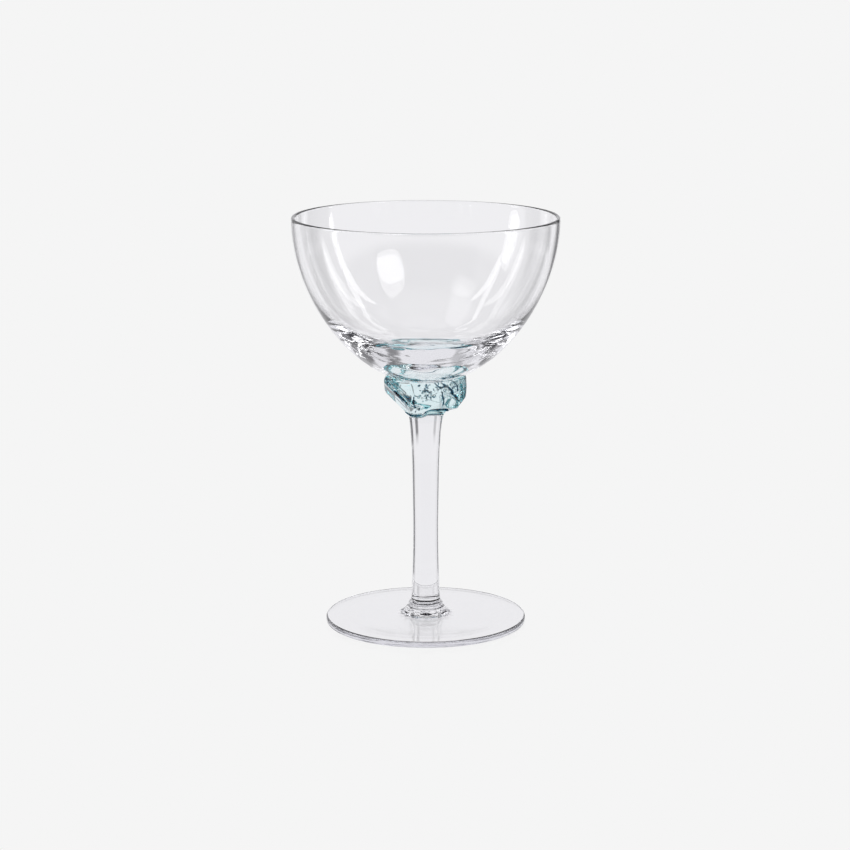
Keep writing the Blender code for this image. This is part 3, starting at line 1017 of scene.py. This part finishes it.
def lit_color(tree, shade, open_share):
    """Plain and pale for the camera. For the glass it is pale only in the open share that
    isn't in the shade, and the colour of the room elsewhere."""
    clear = math_node(tree, "SUBTRACT", 1.0, shade)
    lit = math_node(tree, "MULTIPLY", clear, open_share)
    inside = tree.nodes.new("ShaderNodeMix")
    inside.data_type = "RGBA"
    inside.inputs["A"].default_value = (*ROOM, 1)
    inside.inputs["B"].default_value = (*PALE_IN_GLASS, 1)
    tree.links.new(lit, inside.inputs["Factor"])
    path = tree.nodes.new("ShaderNodeLightPath")
    shown = tree.nodes.new("ShaderNodeMix")
    shown.data_type = "RGBA"
    tree.links.new(path.outputs["Is Camera Ray"], shown.inputs["Factor"])
    tree.links.new(inside.outputs["Result"], shown.inputs["A"])
    shown.inputs["B"].default_value = (*PALE, 1)
    return shown.outputs["Result"]


def build_floor():
    """Pale table that mirrors a little beside the foot."""
    floor = sheet("studio_floor", TABLE_HALF, TABLE_HALF)
    floor.location.z = -TABLE_DROP
    material, tree = new_material("floor_sheet")
    nodes, links = tree.nodes, tree.links
    place = nodes.new("ShaderNodeTexCoord").outputs["Object"]
    distance = vector_node(tree, "LENGTH", place)["Value"]
    beyond = smooth_step(tree, distance, TABLE_LIT, TABLE_LIT * TABLE_LIT_FADE)
    near = smooth_step(tree, distance, SHADE_REACH + SHADE_FADE, SHADE_REACH)
    near = math_node(tree, "MULTIPLY", near, beyond)
    near = math_node(tree, "MULTIPLY", shade_of(tree, place, NEAR_SHADES), near)
    far = smooth_step(tree, distance, SHADE_REACH, SHADE_REACH + SHADE_FADE)
    far = math_node(tree, "MULTIPLY", shade_of(tree, place, FAR_SHADES), far)
    shade = math_node(tree, "MAXIMUM", near, far)
    under = smooth_step(tree, distance, TABLE_LIT, FOOT_RADIUS)
    under = math_node(tree, "MULTIPLY", under, 1.0 - TABLE_UNDER)
    open_share = math_node(tree, "SUBTRACT", 1.0, under)
    lit = nodes.new("ShaderNodeEmission")
    links.new(lit_color(tree, shade, open_share), lit.inputs["Color"])
    sheen = smooth_step(tree, distance, SHEEN_REACH, FOOT_RADIUS)
    gloss = nodes.new("ShaderNodeBsdfGlossy")
    gloss.inputs["Color"].default_value = (1, 1, 1, 1)
    gloss.inputs["Roughness"].default_value = 0.0
    mix = nodes.new("ShaderNodeMixShader")
    links.new(math_node(tree, "MULTIPLY", sheen, SHEEN_NEAR), mix.inputs["Fac"])
    links.new(lit.outputs[0], mix.inputs[1])
    links.new(gloss.outputs[0], mix.inputs[2])
    out = nodes.new("ShaderNodeOutputMaterial")
    links.new(mix.outputs[0], out.inputs["Surface"])
    floor.data.materials.append(material)


def build_world():
    """Pale behind the glass and low all round, dark above and in the far shades."""
    world = bpy.data.worlds.new("studio")
    bpy.context.scene.world = world
    world.use_nodes = True
    tree = world.node_tree
    nodes, links = tree.nodes, tree.links
    nodes.clear()
    toward = nodes.new("ShaderNodeTexCoord").outputs["Generated"]
    split = nodes.new("ShaderNodeSeparateXYZ")
    links.new(toward, split.inputs[0])
    behind = smooth_step(tree, split.outputs["Y"], *BACKDROP_SIDE)
    under_top = smooth_step(tree, split.outputs["Z"], BACKDROP_TOP + BACKDROP_TOP_SOFT,
                            BACKDROP_TOP)
    behind = math_node(tree, "MULTIPLY", behind, under_top)
    low = smooth_step(tree, split.outputs["Z"], *HORIZON_GLOW)
    open_share = math_node(tree, "MAXIMUM", behind, low)
    back = nodes.new("ShaderNodeBackground")
    shade = shade_of(tree, toward, FAR_SHADES)
    links.new(lit_color(tree, shade, open_share), back.inputs["Color"])
    out = nodes.new("ShaderNodeOutputWorld")
    links.new(back.outputs[0], out.inputs["Surface"])


def build_camera():
    data = bpy.data.cameras.new("camera")
    data.lens = CAMERA_LENS
    data.sensor_width = CAMERA_SENSOR
    data.clip_start, data.clip_end = CAMERA_CLIP
    camera = bpy.data.objects.new("camera", data)
    bpy.context.scene.collection.objects.link(camera)
    camera.location = (CAMERA_SIDE, -CAMERA_DISTANCE, CAMERA_HEIGHT)
    camera.rotation_euler = (math.pi / 2 - CAMERA_PITCH_DOWN, 0, 0)
    bpy.context.scene.camera = camera


def build_studio():
    build_floor()
    build_world()
    for values in CARDS:
        card(*values)


def settle_rendering():
    """Plain colours, and enough bounces for light to pass through all the glass."""
    scene = bpy.context.scene
    scene.view_settings.view_transform = "Standard"
    scene.cycles.max_bounces = 32
    scene.cycles.transmission_bounces = 32
    scene.cycles.glossy_bounces = 16
    scene.cycles.transparent_max_bounces = 16
    scene.cycles.sample_clamp_indirect = 4.0


# ---------------------------------------------------------------- assembly

def place_piece(piece, node, material):
    piece.data.materials.append(material)
    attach(piece, BODY)
    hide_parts(node)


place_piece(build_bowl(), "bowl",
            glass("bowl_clear", CLEAR_TINT, density=25, cords=0.010, roughness=0.01))
place_piece(build_knop(), "knop",
            glass("knop_turquoise", TURQUOISE_TINT, density=68, cords=0.010, roughness=0.01))
# the knop's threads carry painted shade in their base colour
place_piece(build_threads(), "knop",
            glass("thread_turquoise_painted_shade", TURQUOISE_TINT, density=95, cords=0, roughness=0,
                  painted_shade=THREAD_PAINTED_SHADE))
# the stem's dark lines are painted shade in their base colour
place_piece(build_painted_shade_lines(), "stem",
            glass("stem_painted_shade_line_glass", CLEAR_TINT, density=40, cords=0, roughness=0,
                  painted_shade=LINE_PAINTED_SHADE))
place_piece(build_stem(), "stem",
            glass("stem_clear", CLEAR_TINT, density=40, cords=0.015, roughness=0.01))
place_piece(build_foot(), "foot",
            glass("foot_clear", CLEAR_TINT, density=40, cords=0.010, roughness=0.01))

build_camera()
build_studio()
settle_rendering()
